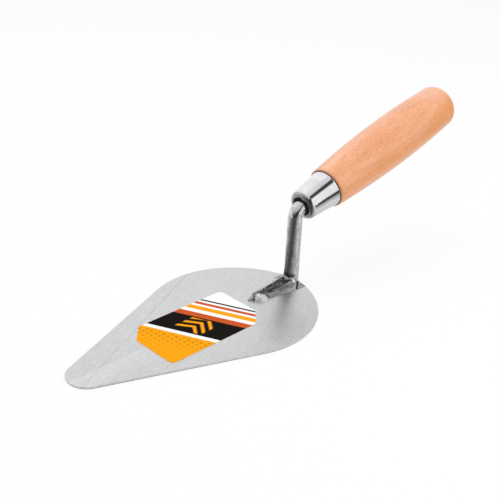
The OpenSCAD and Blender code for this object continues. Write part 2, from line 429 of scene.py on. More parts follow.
def drawn_rod(s, floor):
    """Drawn rod, blackened toward its foot, which has a dark scaled top, painted highlights on the far rim
    and the folds, streaked flanks with painted shade and highlights, and painted shade in the hollows.
    """
    f = new_finish("drawn_rod")
    x, y, z = f.place()
    grit = f.noise(x * 1.1, y * 1.1, z * 1.1, 4, 0.7)
    streak = f.noise(x * 1.5, y * 1.5, z * 0.14, 3, 0.65)
    blot = f.noise(x * 0.3, y * 0.3, z * 0.2, 4, 0.65)
    drag = f.noise(x * 0.16, y * 1.5, z * 2.0, 3, 0.65)
    pit = f.noise(x * 0.6, y * 0.75, z * 0.75, 3, 0.65)
    # The foot is all that is low and ahead of the rod: its share of the way to the nose, width and height
    from_axis = x + z * math.tan(s.lean)
    away = (from_axis * from_axis + y * y).root()
    on_foot = z.rise(10.0, 9.2) * away.rise(4.9, 5.06)
    ahead = (-s.foot_back / MM - x) / ((s.foot_l - s.foot_back) / MM)
    half_top = s.rod_d / 2 / MM - ahead * ((s.rod_d - s.nose_w) / 2 / MM)
    out = abs(y) / half_top
    level = (z - floor / MM) / (s.foot_h / MM - ahead * ((s.foot_h - s.nose_h) / MM))
    behind = behind_crack(x, y)
    # Its top and its flanks, a painted highlight on the far rim and painted shade on the near edge
    facing = f.node("ShaderNodeNewGeometry", {}, {}, "Normal").parts()[2].rise(0.6, 0.9)
    flat = facing * on_foot
    skirt = on_foot * (1 - facing)
    rim = out.rise(0.66, 0.78) * flat * y.rise(-0.5, 0.5)
    edge = out.rise(0.78, 0.92) * flat - rim
    # Painted highlights on the folds against the rod, lighter specks at the nose, and the rod's blackened end
    ear = behind.rise(-3.6, -2.4).most(x.rise(-4.8, -3.4) * z.rise(3.0, 3.8))
    fold_highlight = (z.rise(5.9, 6.7) + ear * (1 - facing)).least(1.0) * on_foot
    nose = ahead.rise(0.78, 0.86) * on_foot
    collar = z.rise(12.0, 5.0) * (1 - on_foot)
    drawn = streak.swing(2.4) + blot.swing(2.0) + grit.swing(1.6) + 0.62
    rod = f.mix(drawn, dim(s.steel, 0.52), dim(s.steel, 1.2))
    rod = f.mix(collar * grit.rise(0.4, 0.56) * 0.7, rod, dim(s.scale, 1.6))
    top = f.mix((pit * 0.4 + grit * 0.6).rise(0.49, 0.6), dim(s.scale, 0.14), dim(s.scale, 3.2))
    top = f.mix(ahead.rise(0.6, 0.2) * 0.25, top, dim(s.scale, 0.2))
    # Painted shade on the top's near edge
    top = f.mix(edge * 0.9, top, dim(s.scale, 0.12))
    # Down the flank: painted shade under the top's brow and in the groove, and a painted highlight on the
    # ledge; the flank is lighter toward the rod
    brow_shade = level.rise(0.7, 0.8) * ahead.rise(0.5, 0.3) * behind.rise(-3.0, -4.0)
    ledge = level.band(0.52, 0.6, 0.68, 0.74)
    groove = level.band(0.3, 0.4, 0.48, 0.56)
    shade = (1 - groove * 0.6) * (1 - level.rise(0.7, 0.78) * ahead.rise(0.1, 0.5) * 0.97)
    light = (drag.rise(0.3, 0.54) * shade + ledge * drag.rise(0.36, 0.55)) * (1 - brow_shade * 0.6)
    light = light * (1 + ahead.rise(0.4, 0.15) * 0.7)
    side = f.mix(light, dim(s.scale, 0.2), dim(s.steel, 0.68))
    base = f.mix(flat, rod, top)
    base = f.mix(skirt, base, side)
    # Painted highlights on the far rim and the folds, and lighter specks at the nose; these places are also
    # less metallic
    highlight_and_speck = rim * grit.rise(0.4, 0.5) + fold_highlight * grit.rise(0.36, 0.46) + nose * grit.rise(0.47, 0.56) * 0.6
    highlight_and_speck = highlight_and_speck.least(1.0)
    base = f.mix(highlight_and_speck, base, neutral(0.7))
    # Painted shade in the hollow between the folds and the rod, and behind the foot
    hollow_shade = z.rise(10.4, 8.4) * x.rise(-1.6, -3.2) * (1 - on_foot) * 0.8
    hollow_shade = hollow_shade.most(skirt * behind.rise(-1.2, -0.7))
    base = f.mix(hollow_shade * 0.9, base, neutral(0.02))
    rough = 0.12 + blot.swing(0.12) + streak.swing(0.06) + flat * 0.3 + skirt * 0.2 + collar * 0.14
    normal = f.bump(grit * (on_foot * 0.9 + collar * 0.4 + 0.01) + streak * 0.035, 0.11)
    return f.surface(base_color=base, metallic=1 - highlight_and_speck * 0.6, roughness=rough, normal=normal)


def weld_metal(s):
    """Weld metal: a lump beside the nose with a painted highlight on its near side, a tinted point ahead of
    it, grey beads, and painted shade at their back ends by the crack.
    """
    f = new_finish("weld_metal")
    x, y, z = f.place()
    grit = f.noise(x * 1.3, y * 1.3, z * 1.3, 4, 0.68)
    drag = f.noise(x * 0.2, y * 1.8, z * 2.2, 3, 0.6)
    # A slanted seam parts the tinted point from the lump, and a nick ends the lump
    after_seam = x + 36.2 - (y + 1.3) * 0.85
    seam = after_seam.band(-0.85, -0.4, 0.25, 0.7)
    point = after_seam.rise(-0.2, -0.8)
    lump = x.rise(-27.2, -29.4) * (1 - point)
    nick = x.band(-28.2, -27.6, -27.0, -26.2) * grit.rise(0.4, 0.5) * 0.6
    behind = behind_crack(x, y)
    heel = behind.rise(0.4, 1.2)
    ear = behind.rise(-3.4, -2.2) * (1 - heel)
    base = f.mix(drag.rise(0.34, 0.56), dim(s.metal, 0.18), dim(s.metal, 0.72))
    base = f.mix(x.rise(-22.0, -8.0) * drag.rise(0.3, 0.5) * 0.6, base, s.metal)
    # Painted highlight: the lump is brightest on the near side
    near = f.mix(y.rise(-0.8, -2.6), dim(s.metal, 0.3), dim(s.metal, 1.08))
    base = f.mix(lump, base, f.mix(grit.rise(0.48, 0.64), near, dim(s.metal, 0.4)))
    base = f.mix(point, base, s.tint)
    base = f.mix(heel, base, dim(s.metal, 0.72))
    base = f.mix(ear * 0.7, base, dim(s.metal, 0.9))
    # Near black: painted shade in the crack at the beads' back ends, and the dark seam and nick
    base = f.mix(behind.band(*CRACK_SHADE).most(seam).most(nick), base, SHADE_AND_SEAM_BLACK)
    base = f.mix(grit.rise(0.6, 0.74) * (1 - (lump + heel) * 0.8), base, neutral(0.07))
    rough = 0.3 + grit.swing(0.24) + point * 0.14 + heel * 0.2
    normal = f.bump(grit, 0.08)
    return f.surface(base_color=base, metallic=1 - lump * 0.65, roughness=rough, normal=normal)


def bright_plating(s, axis):
    """Bright plating with faint polishing rings, hair scratches and soft smudges; a rougher lip with a
    painted dark reflection, and a dull inside.
    """
    f = new_finish("bright_plating")
    run, above, aside = axis.coordinates(*f.place())
    away = (above * above + aside * aside).root()
    # How deep a point lies under the outer skin, round the lip and along the cone
    bend_at = (s.start + s.lip) / MM
    slope = (s.back_d - s.front_d) / 2 / (s.long - s.lip)
    ahead = (bend_at - run).most(0.0)
    out = away - (s.front_d / 2 - s.lip) / MM - (run - bend_at).most(0.0) * slope
    depth = (ahead * ahead + out * out).root()
    inside = depth.rise((s.lip - s.wall * 0.3) / MM, (s.lip - s.wall * 0.8) / MM)
    lip = run.rise(bend_at - 0.4, bend_at - 2.2)
    ring = f.noise(run * 3.2, above * 0.05, aside * 0.05, 3, 0.6)
    hair = f.noise(run * 0.22, above * 4.0, aside * 4.0, 2, 0.65)
    smudge = f.noise(run * 0.12, above * 0.12, aside * 0.12, 3, 0.6)
    base = f.mix(smudge.rise(0.35, 0.75), s.chrome, dim(s.chrome, 0.86))
    # Painted reflection: the lip is darkened to stand in for the dark things it mirrors; it is also rougher
    base = f.mix(lip * 0.65, base, dim(s.chrome, 0.25))
    base = f.mix(inside, base, neutral(0.2))
    rough = 0.055 + smudge * 0.07 + hair.swing(0.04) + lip * 0.1 + inside * 0.4
    normal = f.bump(ring * 0.6 + hair * 0.4, 0.004)
    return f.surface(base_color=base, metallic=1 - inside, roughness=rough, normal=normal)


def turned_beech(s, axis, grip):
    """Turned beech under satin lacquer: rings about a far pith, fibres, flecks, a browned front edge, painted
    shade on the near lower side and in the seam against the ferrule, and painted light on the other side.
    """
    f = new_finish("turned_beech")
    run, above, aside = axis.coordinates(*f.place())
    away = (above * above + aside * aside).root()
    butt_at = grip + s.long / MM
    sway = f.noise(run * 0.016, above * 0.045, aside * 0.045, 2, 0.5)
    pith_a = above + 46.0 + sway.swing(16.0)
    pith_b = aside - 31.0 + sway.swing(10.0) + run * 0.05
    ring_pitch = 2.3
    ripple = f.noise(run * 0.05, above * 0.22, aside * 0.22, 3, 0.55)
    ring = ((pith_a * pith_a + pith_b * pith_b).root() / ring_pitch + ripple * 0.9).fract()
    late = ring.band(0.3, 0.85, 0.82, 1.0)
    fibre = f.noise(run * 0.05, above * 0.7, aside * 0.7, 4, 0.65)
    thread = f.noise(run * 0.5, above * 1.1, aside * 1.1, 4, 0.78)
    blot = f.noise(run * 0.03, above * 0.075, aside * 0.075, 3, 0.55)
    fleck = f.noise(run * 0.36, above * 1.5, aside * 1.5, 3, 0.7).rise(0.5, 0.74)
    pore = f.noise(run * 0.9, above * 6.0, aside * 6.0, 1, 0.5).rise(0.66, 0.8)
    patch = f.noise(run * 0.024 + 3.7, above * 0.06, aside * 0.06, 2, 0.5)
    mid = run.rise(grip + 25.0, grip + 60.0)
    butt = run.rise(butt_at - 50.0, butt_at - 15.0)
    # Amber patches vary at random; painted shade adds amber along the near lower side and at the butt's end
    # there, and painted light pales the wood along the other side and toward the butt
    shaded_side = (above * 0.69 + aside * 0.72) * -1.0
    end = run.rise(butt_at - 14.0, butt_at - 3.0) * shaded_side.rise(-6.0, 5.0)
    patches = patch.swing(2.0) + mid * 0.15 + end * 0.3
    amber = (patches + shaded_side / 20.0 + butt * (shaded_side / 30.0 + 0.25)).rise(0.2, 1.1)
    blush = (patch.swing(-2.0) - shaded_side / 26.0).rise(0.35, 1.0) * 0.15
    blush = blush.most(butt ** 2.5 * shaded_side.rise(5.0, -8.0) * 0.6)
    tone = 0.3 + fibre.swing(0.8) + blot.swing(0.9) + thread.swing(4.0)
    # Painted shade: the butt's end on the near lower side is darker
    tone = tone + late * (0.25 + butt * 0.3) + end * 0.6
    base = f.mix(tone, s.pale, s.warm)
    base = f.mix(blush, base, s.blush)
    base = f.mix(amber * (0.65 + butt * 0.3), base, s.amber)
    flecks = fleck * (0.22 - mid * 0.07 + butt * 0.17)
    base = f.mix(flecks + pore * 0.2 + end * 0.12, base, s.fleck)
    browned = run.rise(grip + 1.9, grip + 0.5) * 0.45
    base = f.mix(browned, base, dim(s.warm, 0.5))
    # Painted shade in the seam against the ferrule
    base = f.mix(run.rise(grip + 1.0, grip + 0.6) * away.rise(12.95, 12.6), base, (0.02, 0.012, 0.008))
    rough = 0.44 + fibre.swing(0.16) + fleck * 0.1 + browned * 0.2
    normal = f.bump(1 - fleck * 0.5 - pore * 0.5 - thread * 0.25 - fibre * 0.2, 0.03)
    return f.surface(
        base_color=base, roughness=rough, normal=normal, coat_weight=0.85, coat_roughness=0.32, coat_ior=1.6,
        specular_ior_level=0.1,
    )


def printed_label(s):
    """Satin printed paper: slanted fields of amber, black and paper with bars, dots and chevrons."""
    f = new_finish("printed_label")
    low, high = (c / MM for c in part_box("label"))
    x, y, z = f.place()
    u = x - (low.x + high.x) / 2
    v = y - (low.y + high.y) / 2
    slant = u + v * 0.5
    bleed = 0.12

    def bar(value, start, end):
        return value.band(start - bleed, start + bleed, end - bleed, end + bleed)

    # Amber field toward the tip with dots that shrink away from the slanted edge
    dot_pitch = 3.4
    dot_u = (u / dot_pitch).fract() - 0.5
    dot_v = (v / dot_pitch).fract() - 0.5
    dot_r = slant.rise(-44.0, -12.0) * 0.36
    dots = ((dot_u * dot_u + dot_v * dot_v).root() - dot_r).rise(0.05, -0.05) * slant.rise(-17.0, -18.0)
    base = f.mix(dots * 0.85, s.amber, dim(s.amber, 0.62))
    # Black sash with chevron strokes
    base = f.mix(bar(slant, -12.0, 9.0), base, s.black)
    folded = u + abs(v) * 0.75
    stroke_pitch = 6.0
    strokes = bar(((folded + 5.0) / stroke_pitch).fract(), 0.1, 0.52) * bar(abs(v), -1.0, 8.5)
    strokes = strokes * bar(folded, -4.5, 13.0)
    base = f.mix(strokes * bar(slant, -10.5, 7.5), base, s.amber)
    # Stripes each side of the sash
    base = f.mix(bar(slant, -15.5, -12.0), base, s.paper)
    base = f.mix(bar(slant, 9.0, 14.5), base, s.rust)
    # Paper field toward the heel with three thinning stripes
    base = f.mix(slant.rise(14.4, 14.6), base, s.paper)
    for start, wide, ink in ((18.5, 4.6, s.amber), (25.6, 3.0, s.rust), (31.0, 1.7, s.black)):
        base = f.mix(bar(slant, start, start + wide), base, ink)
    # Rubbed ink and paper tooth
    tooth = f.noise(x * 2.4, y * 2.4, z, 3, 0.6)
    rub = f.noise(x * 0.25, y * 1.4, z, 4, 0.7).rise(0.66, 0.8)
    base = f.mix(rub * 0.12, base, s.paper)
    rough = 0.36 + tooth.swing(0.12) + rub * 0.15
    normal = f.bump(tooth, 0.012)
    return f.surface(base_color=base, roughness=rough, normal=normal, specular_ior_level=0.015)


# Shapes


class HandleAxis:
    """The line that the ferrule and the handle are turned about, from the crank's corner."""

    def __init__(self, shank, handle):
        self.corner = Vector((-shank.crank_h * math.tan(shank.lean), 0, shank.crank_h))
        self.along = Vector((math.cos(handle.rise), 0, math.sin(handle.rise)))
        self.above = Vector((-math.sin(handle.rise), 0, math.cos(handle.rise)))

    def point(self, run, radius, turn):
        out = self.above * math.cos(turn) + SIDE * math.sin(turn)
        return self.corner + self.along * run + out * radius

    def coordinates(self, x, y, z):
        """Along, above and aside of a shader point in millimetres."""
        x, z = x - self.corner.x / MM, z - self.corner.z / MM
        run = x * self.along.x + z * self.along.z
        above = x * self.above.x + z * self.above.z
        return run, above, y


def clamped(*values):
    """The greatest of the values, held between 0 and 1."""
    return min(1.0, max(0.0, *values))


def hump(value, at, wide, power=2):
    """1 at a place, fading to 0 within about two widths on both sides of it."""
    return math.exp(-(((value - at) / wide) ** power))


def arc(centre, radius, start, end, steps):
    """Points on an arc, both ends included, angles in radians."""
    angles = [start + (end - start) * i / steps for i in range(steps + 1)]
    return [(centre[0] + radius * math.cos(a), centre[1] + radius * math.sin(a)) for a in angles]


def turns(count):
    """The angles of equal steps round a full turn."""
    return [2 * math.pi * i / count for i in range(count)]


def grid_faces(rows, count, first=0, closed=True):
    """Faces between rows of points, each row closed to a ring or left open."""
    faces = []
    for a in range(first, first + (rows - 1) * count, count):
        b = a + count
        for i in range(count if closed else count - 1):
            j = (i + 1) % count
            faces.append((a + i, a + j, b + j, b + i))
    return faces


def turned(axis, profile, segments, ring=False):
    """Vertices and faces turned from (run, radius) points: from axis to axis, or a closed ring section."""
    on_axis = 1e-7
    verts, faces, rows = [], [], []
    for run, radius in profile:
        if radius < on_axis:
            rows.append([len(verts)] * segments)
            verts.append(axis.point(run, 0, 0))
        else:
            rows.append(range(len(verts), len(verts) + segments))
            verts += [axis.point(run, radius, a) for a in turns(segments)]
    for a, b in zip(rows, rows[1:] + rows[:1] if ring else rows[1:]):
        for i in range(segments):
            j = (i + 1) % segments
            faces.append(list(dict.fromkeys((a[i], a[j], b[j], b[i]))))
    return verts, faces


def loft(rings):
    """Vertices and faces through rings of equal count, closed by a face at each end."""
    count = len(rings[0])
    verts = [p for ring in rings for p in ring]
    ends = [list(range(count)), list(range(len(verts) - count, len(verts)))]
    return verts, ends + grid_faces(len(rings), count)


def clean_mesh(name, verts, faces):
    """A mesh whose faces all look outward."""
    mesh = bpy.data.meshes.new(name)
    mesh.from_pydata([tuple(v) for v in verts], [], faces)
    bm = bmesh.new()
    bm.from_mesh(mesh)
    bmesh.ops.recalc_face_normals(bm, faces=bm.faces)
    bm.to_mesh(mesh)
    bm.free()
    return mesh


def smooth(mesh, sharp):
    """Smooth shading that keeps edges sharper than the angle in degrees."""
    mesh.polygons.foreach_set("use_smooth", [True] * len(mesh.polygons))
    mesh.set_sharp_from_angle(angle=math.radians(sharp))


def new_object(name, data):
    made = bpy.data.objects.new(name, data)
    bpy.context.scene.collection.objects.link(made)
    return made


def dress(piece, material, slot, *nodes):
    """Gives a piece its finish and its place on the part."""
    piece.data.materials.clear()
    piece.data.materials.append(material)
    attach(piece, BODY)
    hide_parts(*nodes)


def dents(point, size, seed):
    """Soft dents from -1 to 1 with features about one size across."""
    fall, step, layers, reach = 0.9, 2.0, 4, 0.8
    place = point / size + Vector((seed, seed * 1.7, seed * 0.6))
    return noise.fractal(place, fall, step, layers) * reach


def joined(first, second):
    """The first object's mesh united with the second's; the second object is removed."""
    cut = first.modifiers.new("join", "BOOLEAN")
    cut.operation, cut.solver, cut.object = "UNION", "EXACT", second
    bpy.context.view_layer.update()
    mesh = bpy.data.meshes.new_from_object(first.evaluated_get(bpy.context.evaluated_depsgraph_get()))
    first.modifiers.clear()
    first.data = mesh
    bpy.data.objects.remove(second)


def blade_outline(s, inset):
    """The blade's outline drawn in by an inset, as points from tip to heel and back."""
    shoulder = ((s.widest - s.heel_r) ** 2 + (s.wide / 2) ** 2 - s.heel_r ** 2) / (s.wide - 2 * s.heel_r)
    tip_x = s.heel_x - s.long
    tip = (tip_x + s.tip_r, 0)
    heel = (tip_x + s.long - s.heel_r, 0)
    far = (tip_x + s.long - s.widest, s.wide / 2 - shoulder)
    near = (far[0], -far[1])
    dx, dy = far[0] - tip[0], far[1] - tip[1]
    lean = math.atan2(dy, dx) + math.asin((shoulder - s.tip_r) / math.hypot(dx, dy))
    turn = math.atan2(heel[1] - far[1], heel[0] - far[0])
    quarter = math.pi / 2
    points = arc(tip, s.tip_r - inset, 3 * quarter - lean, quarter + lean, 40)
    points += arc(far, shoulder - inset, quarter + lean, turn, 72)
    points += arc(heel, s.heel_r - inset, turn, -turn, 56)[1:-1]
    points += arc(near, shoulder - inset, -turn, -quarter - lean, 72)
    return points


def blade_mesh(s):
    """A flat sheet with rounded edges."""
    edge_steps = 5
    corner = [(s.edge * (1 - math.sin(a)), s.edge * (1 - math.cos(a))) for a in
              (math.pi / 2 * i / edge_steps for i in range(edge_steps + 1))]
    section = corner + [(inset, s.thick - z) for inset, z in reversed(corner)]
    rings = [[(x, y, z) for x, y in blade_outline(s, inset)] for inset, z in section]
    return clean_mesh("blade_plate", *loft(rings))


def rod_dent(point, turn):
    """How far the rod's skin stands off its circle: drawn dents, with a crease and a flat at the bend."""
    bend_from, bend_over = 42, 6
    bend = clamped((point.z / MM - bend_from) / bend_over)
    dent = 0.012 * dents(point, 3.2 * MM, 1.3) + 0.03 * dents(point, 9 * MM, 7.7)
    dent += bend * (0.04 * dents(point, 2.6 * MM, 4.1) - 0.22 * max(0, -math.cos(turn)) ** 3)
    return dent * MM


def rod_mesh(s, axis, handle_rise, spigot_at, floor):
    """The bent rod with its neck and tang; drawn round, slightly flattened and creased at the bend."""
    upright_steps, bend_steps, segments = 64, 40, 72
    start = 0.04
    rise = Vector((-math.sin(s.lean), 0, math.cos(s.lean)))
    inward = Vector((math.cos(s.lean), 0, math.sin(s.lean)))
    turn = math.pi / 2 + s.lean - handle_rise
    tangent = s.bend_r * math.tan(turn / 2)
    upright = axis.corner.length - tangent
    stations = []
    for i in range(1, upright_steps + 1):
        share_up = start + (1 - start) * i / upright_steps
        stations.append((rise * (upright * share_up), inward, s.rod_d / 2))
    centre = rise * upright + inward * s.bend_r
    for i in range(1, bend_steps + 1):
        a = turn * i / bend_steps
        spoke = inward * math.cos(a) - rise * math.sin(a)
        stations.append((centre - spoke * s.bend_r, spoke, s.rod_d / 2))
    down = axis.above * -1
    for run, radius in (
        (tangent + 0.6 * MM, s.rod_d / 2), (tangent + 0.7 * MM, s.neck_d / 2),
        (spigot_at, s.neck_d / 2), (spigot_at, s.tang_d / 2),
        (spigot_at + s.tang_l - s.tang_point, s.tang_d / 2), (spigot_at + s.tang_l, s.tang_d / 4),
    ):
        stations.append((axis.corner + axis.along * run, down, radius))
    # The lowest ring is cut level, just above the blade
    rings = [[]]
    for a in turns(segments):
        out = (inward * math.cos(a) + SIDE * math.sin(a)) * (s.rod_d / 2)
        rings[0].append(out + rise * ((floor - out.z) / rise.z))
    for k, (middle, spoke, radius) in enumerate(stations):
        ring = []
        for a in turns(segments):
            out = spoke * math.cos(a) + SIDE * math.sin(a)
            dent = rod_dent(middle + out * radius, a) if k <= upright_steps + bend_steps else 0.0
            ring.append(middle + out * (radius + dent))
        rings.append(ring)
    return clean_mesh("shank_forging", *loft(rings))


def foot_section(s, back, x):
    """Half widths and height of the foot at a place along it."""
    t = (x - back) / (-s.foot_l - back)
    height = s.foot_h + (s.nose_h - s.foot_h) * t
    top = s.rod_d / 2 + (s.nose_w / 2 - s.rod_d / 2) * t
    return top, top + s.flare / s.foot_h * height, height


def nose_cut(x, side):
    """How much of the half width is left near the nose, where the far side was hammered in."""
    cut_from, cut_over, cut = -30.5, 5.5, 0.8
    return 1 - cut * clamped((cut_from - x / MM) / cut_over) if side > 0 else 1.0


def foot_path(top, base, height):
    """Half of the foot's section as (half width, height) points, up the flank and in to the middle."""
    path = [(base, 0.0), (base - 0.04 * MM, 0.12 * height)]
    path += [(base + (top - base) * t, height * t) for t in (0.2 + 0.72 * i / 14 for i in range(15))]
    path += [(top * 0.985, height * 0.985), (top * 0.93, height)]
    path += [(top * c, height) for c in (0.86 - 0.86 * i / 10 for i in range(11))]
    return path


def top_lift(s, p, across, height):
    """How far the foot's top is raised in millimetres: rims, a dished and pitted middle, folds at the rod."""
    rim = hump(across, 0.92, 0.1)
    lift = 0.22 * rim * (0.7 + dents(p, 2.5 * MM, 2.2)) - 0.24 * (1 - min(1, across) ** 2)
    lift += 0.17 * dents(p, 1.6 * MM, 5.5) + 0.1 * dents(p, 0.7 * MM, 9.1)
    from_rod = (math.hypot(p.x + height * math.tan(s.lean), p.y) - s.rod_d / 2) / MM
    fold = math.exp(-max(0.0, from_rod) / 0.8)
    return lift + fold * (2.2 + 1.3 * dents(p, 1.5 * MM, 8.8))


def flank_push(p, up):
    """How far the foot's flank stands out in millimetres: a wavy groove under a ledge, dents and scores."""
    groove_at = 0.52 + 0.05 * dents(Vector((p.x, 0, 0)), 6 * MM, 1.1)
    groove = hump(up, groove_at, 0.07)
    ledge = hump(up, 0.72, 0.09)
    scores = dents(Vector((p.x * 0.3, p.y, p.z)), 0.9 * MM, 4.7)
    return 0.16 * ledge - 0.38 * groove + 0.13 * dents(p, 1.7 * MM, 6.6) + 0.1 * scores


def foot_mesh(s, floor):
    """The forged foot: a tapering wedge with a dished top, grooved flanks and folds at the rod."""
    back = -s.foot_back
    stations, end_stations, end_shrink = 150, 6, 0.12
    rings = []
    for k in range(stations + 1):
        x = back + (-s.foot_l - back) * k / stations
        top, base, height = foot_section(s, back, x)
        from_end = min(k, stations - k) / end_stations
        shrink = 1 - end_shrink * max(0, 1 - from_end) ** 2
        ring = []
        for side in (-1, 1):
            half = []
            for w, h in foot_path(top, base, height):
                p = Vector((x, side * w * shrink * nose_cut(x, side), h * shrink))
                up = h / height
                lift = top_lift(s, p, w / top, height) if up > 0.99 else 0.0
                push = flank_push(p, up) if 0.02 < up <= 0.99 else 0.0
                half.append(p + Vector((0, side * push * MM, floor + lift * MM)))
            ring += half if side < 0 else half[-2::-1]
        rings.append(ring)
    return clean_mesh("foot", *loft(rings))


def pool_mesh(s, foot_l, floor):
    """The pool at the nose: a low lump drawn out to a point ahead, fuller on the near side."""
    rows, around = 26, 112
    verts = [(-foot_l, 0, floor + s.pool_h)]
    for k in range(1, rows + 1):
        out = k / rows
        for a in turns(around):
            ahead = math.atan2(math.sin(a), math.cos(a))
            reach = 0.58 + 0.42 * hump(ahead, 0.14, 0.27) + 0.04 * math.cos(3 * a + 0.6)
            # A bulge on the near side and a flat on the far side
            reach += 0.34 * hump(ahead, -1.75, 0.5) - 0.36 * hump(ahead, 1.6, 0.9, power=4)
            reach = min(1.0, reach) * out * s.pool_r
            point = Vector((-foot_l - math.cos(a) * reach, math.sin(a) * reach * 0.98, 0))
            swell = (1 - out ** 2.2) ** 0.75
            point_low = 1 - 0.5 * hump(ahead, 0, 0.5) * out
            lump = 1 + 0.22 * dents(point, 1.5 * MM, 2.9) + 0.1 * dents(point, 0.6 * MM, 6.1)
            verts.append((point.x, point.y, floor + max(0.0, s.pool_h * swell * point_low * lump)))
    faces = [(0, 1 + i, 1 + (i + 1) % around) for i in range(around)]
    faces += grid_faces(rows, around, first=1)
    faces.append(list(range(len(verts) - around, len(verts))))
    return clean_mesh("weld_nose_pool", verts, faces)


def rounded_end(t, steep):
    """From 0 at both ends of a bead to 1 along its middle."""
    end = min(1.0, min(t, 1 - t) * steep)
    return math.sqrt(end * (2 - end))


def side_bead(s, foot, floor, side):
    """One rippled bead along the foot's base, laid fuller on the near side and toward the nose."""
    stations, arc_steps = 190, 12
    root = 0.5 * MM
    nose_swell, middle_spread = (1.15, 1.2) if side < 0 else (0.3, 0.0)
    swell_at, swell_over = -33.8, 3.2
    back = -foot.foot_back
    draft = foot.flare / foot.foot_h
    rings = []
    for k in range(stations + 1):
        t = k / stations
        x = back + (-foot.foot_l - back) * t
        base = foot_section(foot, back, x)[1] * nose_cut(x, side)
        ripple = (x / s.ripple + 0.35 * dents(Vector((x, side * 0.01, 0)), 3 * MM, 1.9)) % 1.0
        pulse = 1 + 0.1 * (ripple - 0.5)
        swell = nose_swell * hump(x / MM, swell_at, swell_over)
        leg = s.leg * (0.35 + 0.65 * rounded_end(t, 26)) * pulse * (1 + swell)
        spread = 1 + middle_spread * math.sin(math.pi * t ** 0.7) ** 1.2
        corner = Vector((x, side * base, floor))
        out = corner + Vector((0, side * leg * spread, 0))
        up = corner + Vector((0, -side * draft * leg, leg))
        ring = [corner + Vector((0, -side * root, 0))]
        for i in range(arc_steps + 1):
            p = out.lerp(up, i / arc_steps)
            belly = leg * (0.16 + 0.2 * swell) + 0.1 * MM * dents(p, 1.1 * MM, 5.3)
            p = p + Vector((0, side * 0.75, 0.66)) * (math.sin(math.pi * i / arc_steps) * belly)
            ring.append(Vector((p.x, p.y, max(p.z, floor))))
        ring.append(up + Vector((0, -side * root, -0.2 * leg)))
        rings.append(ring)
    return loft(rings)


def heel_bead(s, shank, floor, side):
    """One lumpy bead between the rod's flank and the blade."""
    stations, arc_steps = 60, 14
    first, last = math.radians(106), math.radians(46)
    radius = shank.rod_d / 2
    root = radius - 0.6 * MM
    rings = []
    for k in range(stations + 1):
        t = k / stations
        a = first + (last - first) * t
        way = Vector((math.cos(a), side * math.sin(a), 0))
        size = s.heel_r * (0.3 + 0.7 * rounded_end(t, 7))
        wide = 1.05 + 0.6 * math.sin(math.pi * t)
        ring = []
        for i in range(arc_steps + 1):
            c = math.pi / 2 * i / arc_steps
            lump = 1 + 0.16 * dents(way * radius + Vector((0, 0, c * MM)), 1.3 * MM, 3.7)
            reach = radius - 0.1 * MM + size * math.cos(c) * lump * wide
            ring.append(way * reach + Vector((0, 0, floor + size * math.sin(c) * lump * 0.9)))
        ring += [way * root + Vector((0, 0, floor + high)) for high in (0.5 * size, 0)]
        rings.append(ring)
    return loft(rings)


def both_sides(name, maker):
    """One mesh from a maker called for each side."""
    verts, faces = [], []
    for side in (-1, 1):
        more, shapes = maker(side)
        faces += [[len(verts) + i for i in shape] for shape in shapes]
        verts += more
    return clean_mesh(name, verts, faces)


def ferrule_profile(s):
    """The closed section of the ferrule: cone, rolled lip, cut edge and bore."""
    cone_steps = 24
    nick = 0.22 * MM
    front, back = s.front_d / 2, s.back_d / 2
    bend = (s.start + s.lip, front - s.lip)
    end = s.start + s.long
    cone = s.long - s.lip - nick
    drop = (back - front) / (s.long - s.lip) * cone
    points = [(end, back - s.wall), (end, back - nick)]
    points += [(end - nick * 0.3, back - nick * 0.3), (end - nick, back)]
    for i in range(1, cone_steps):
        points.append((end - nick - cone * i / cone_steps, back - drop * i / cone_steps))
    points += arc(bend, s.lip, math.pi / 2, math.pi, 20)
    edge_r = s.wall / 2
    points += arc((bend[0] - s.lip + edge_r, bend[1]), edge_r, math.pi, 2 * math.pi, 12)[1:-1]
    points += arc(bend, s.lip - s.wall, math.pi, math.pi / 2, 10)
    return points


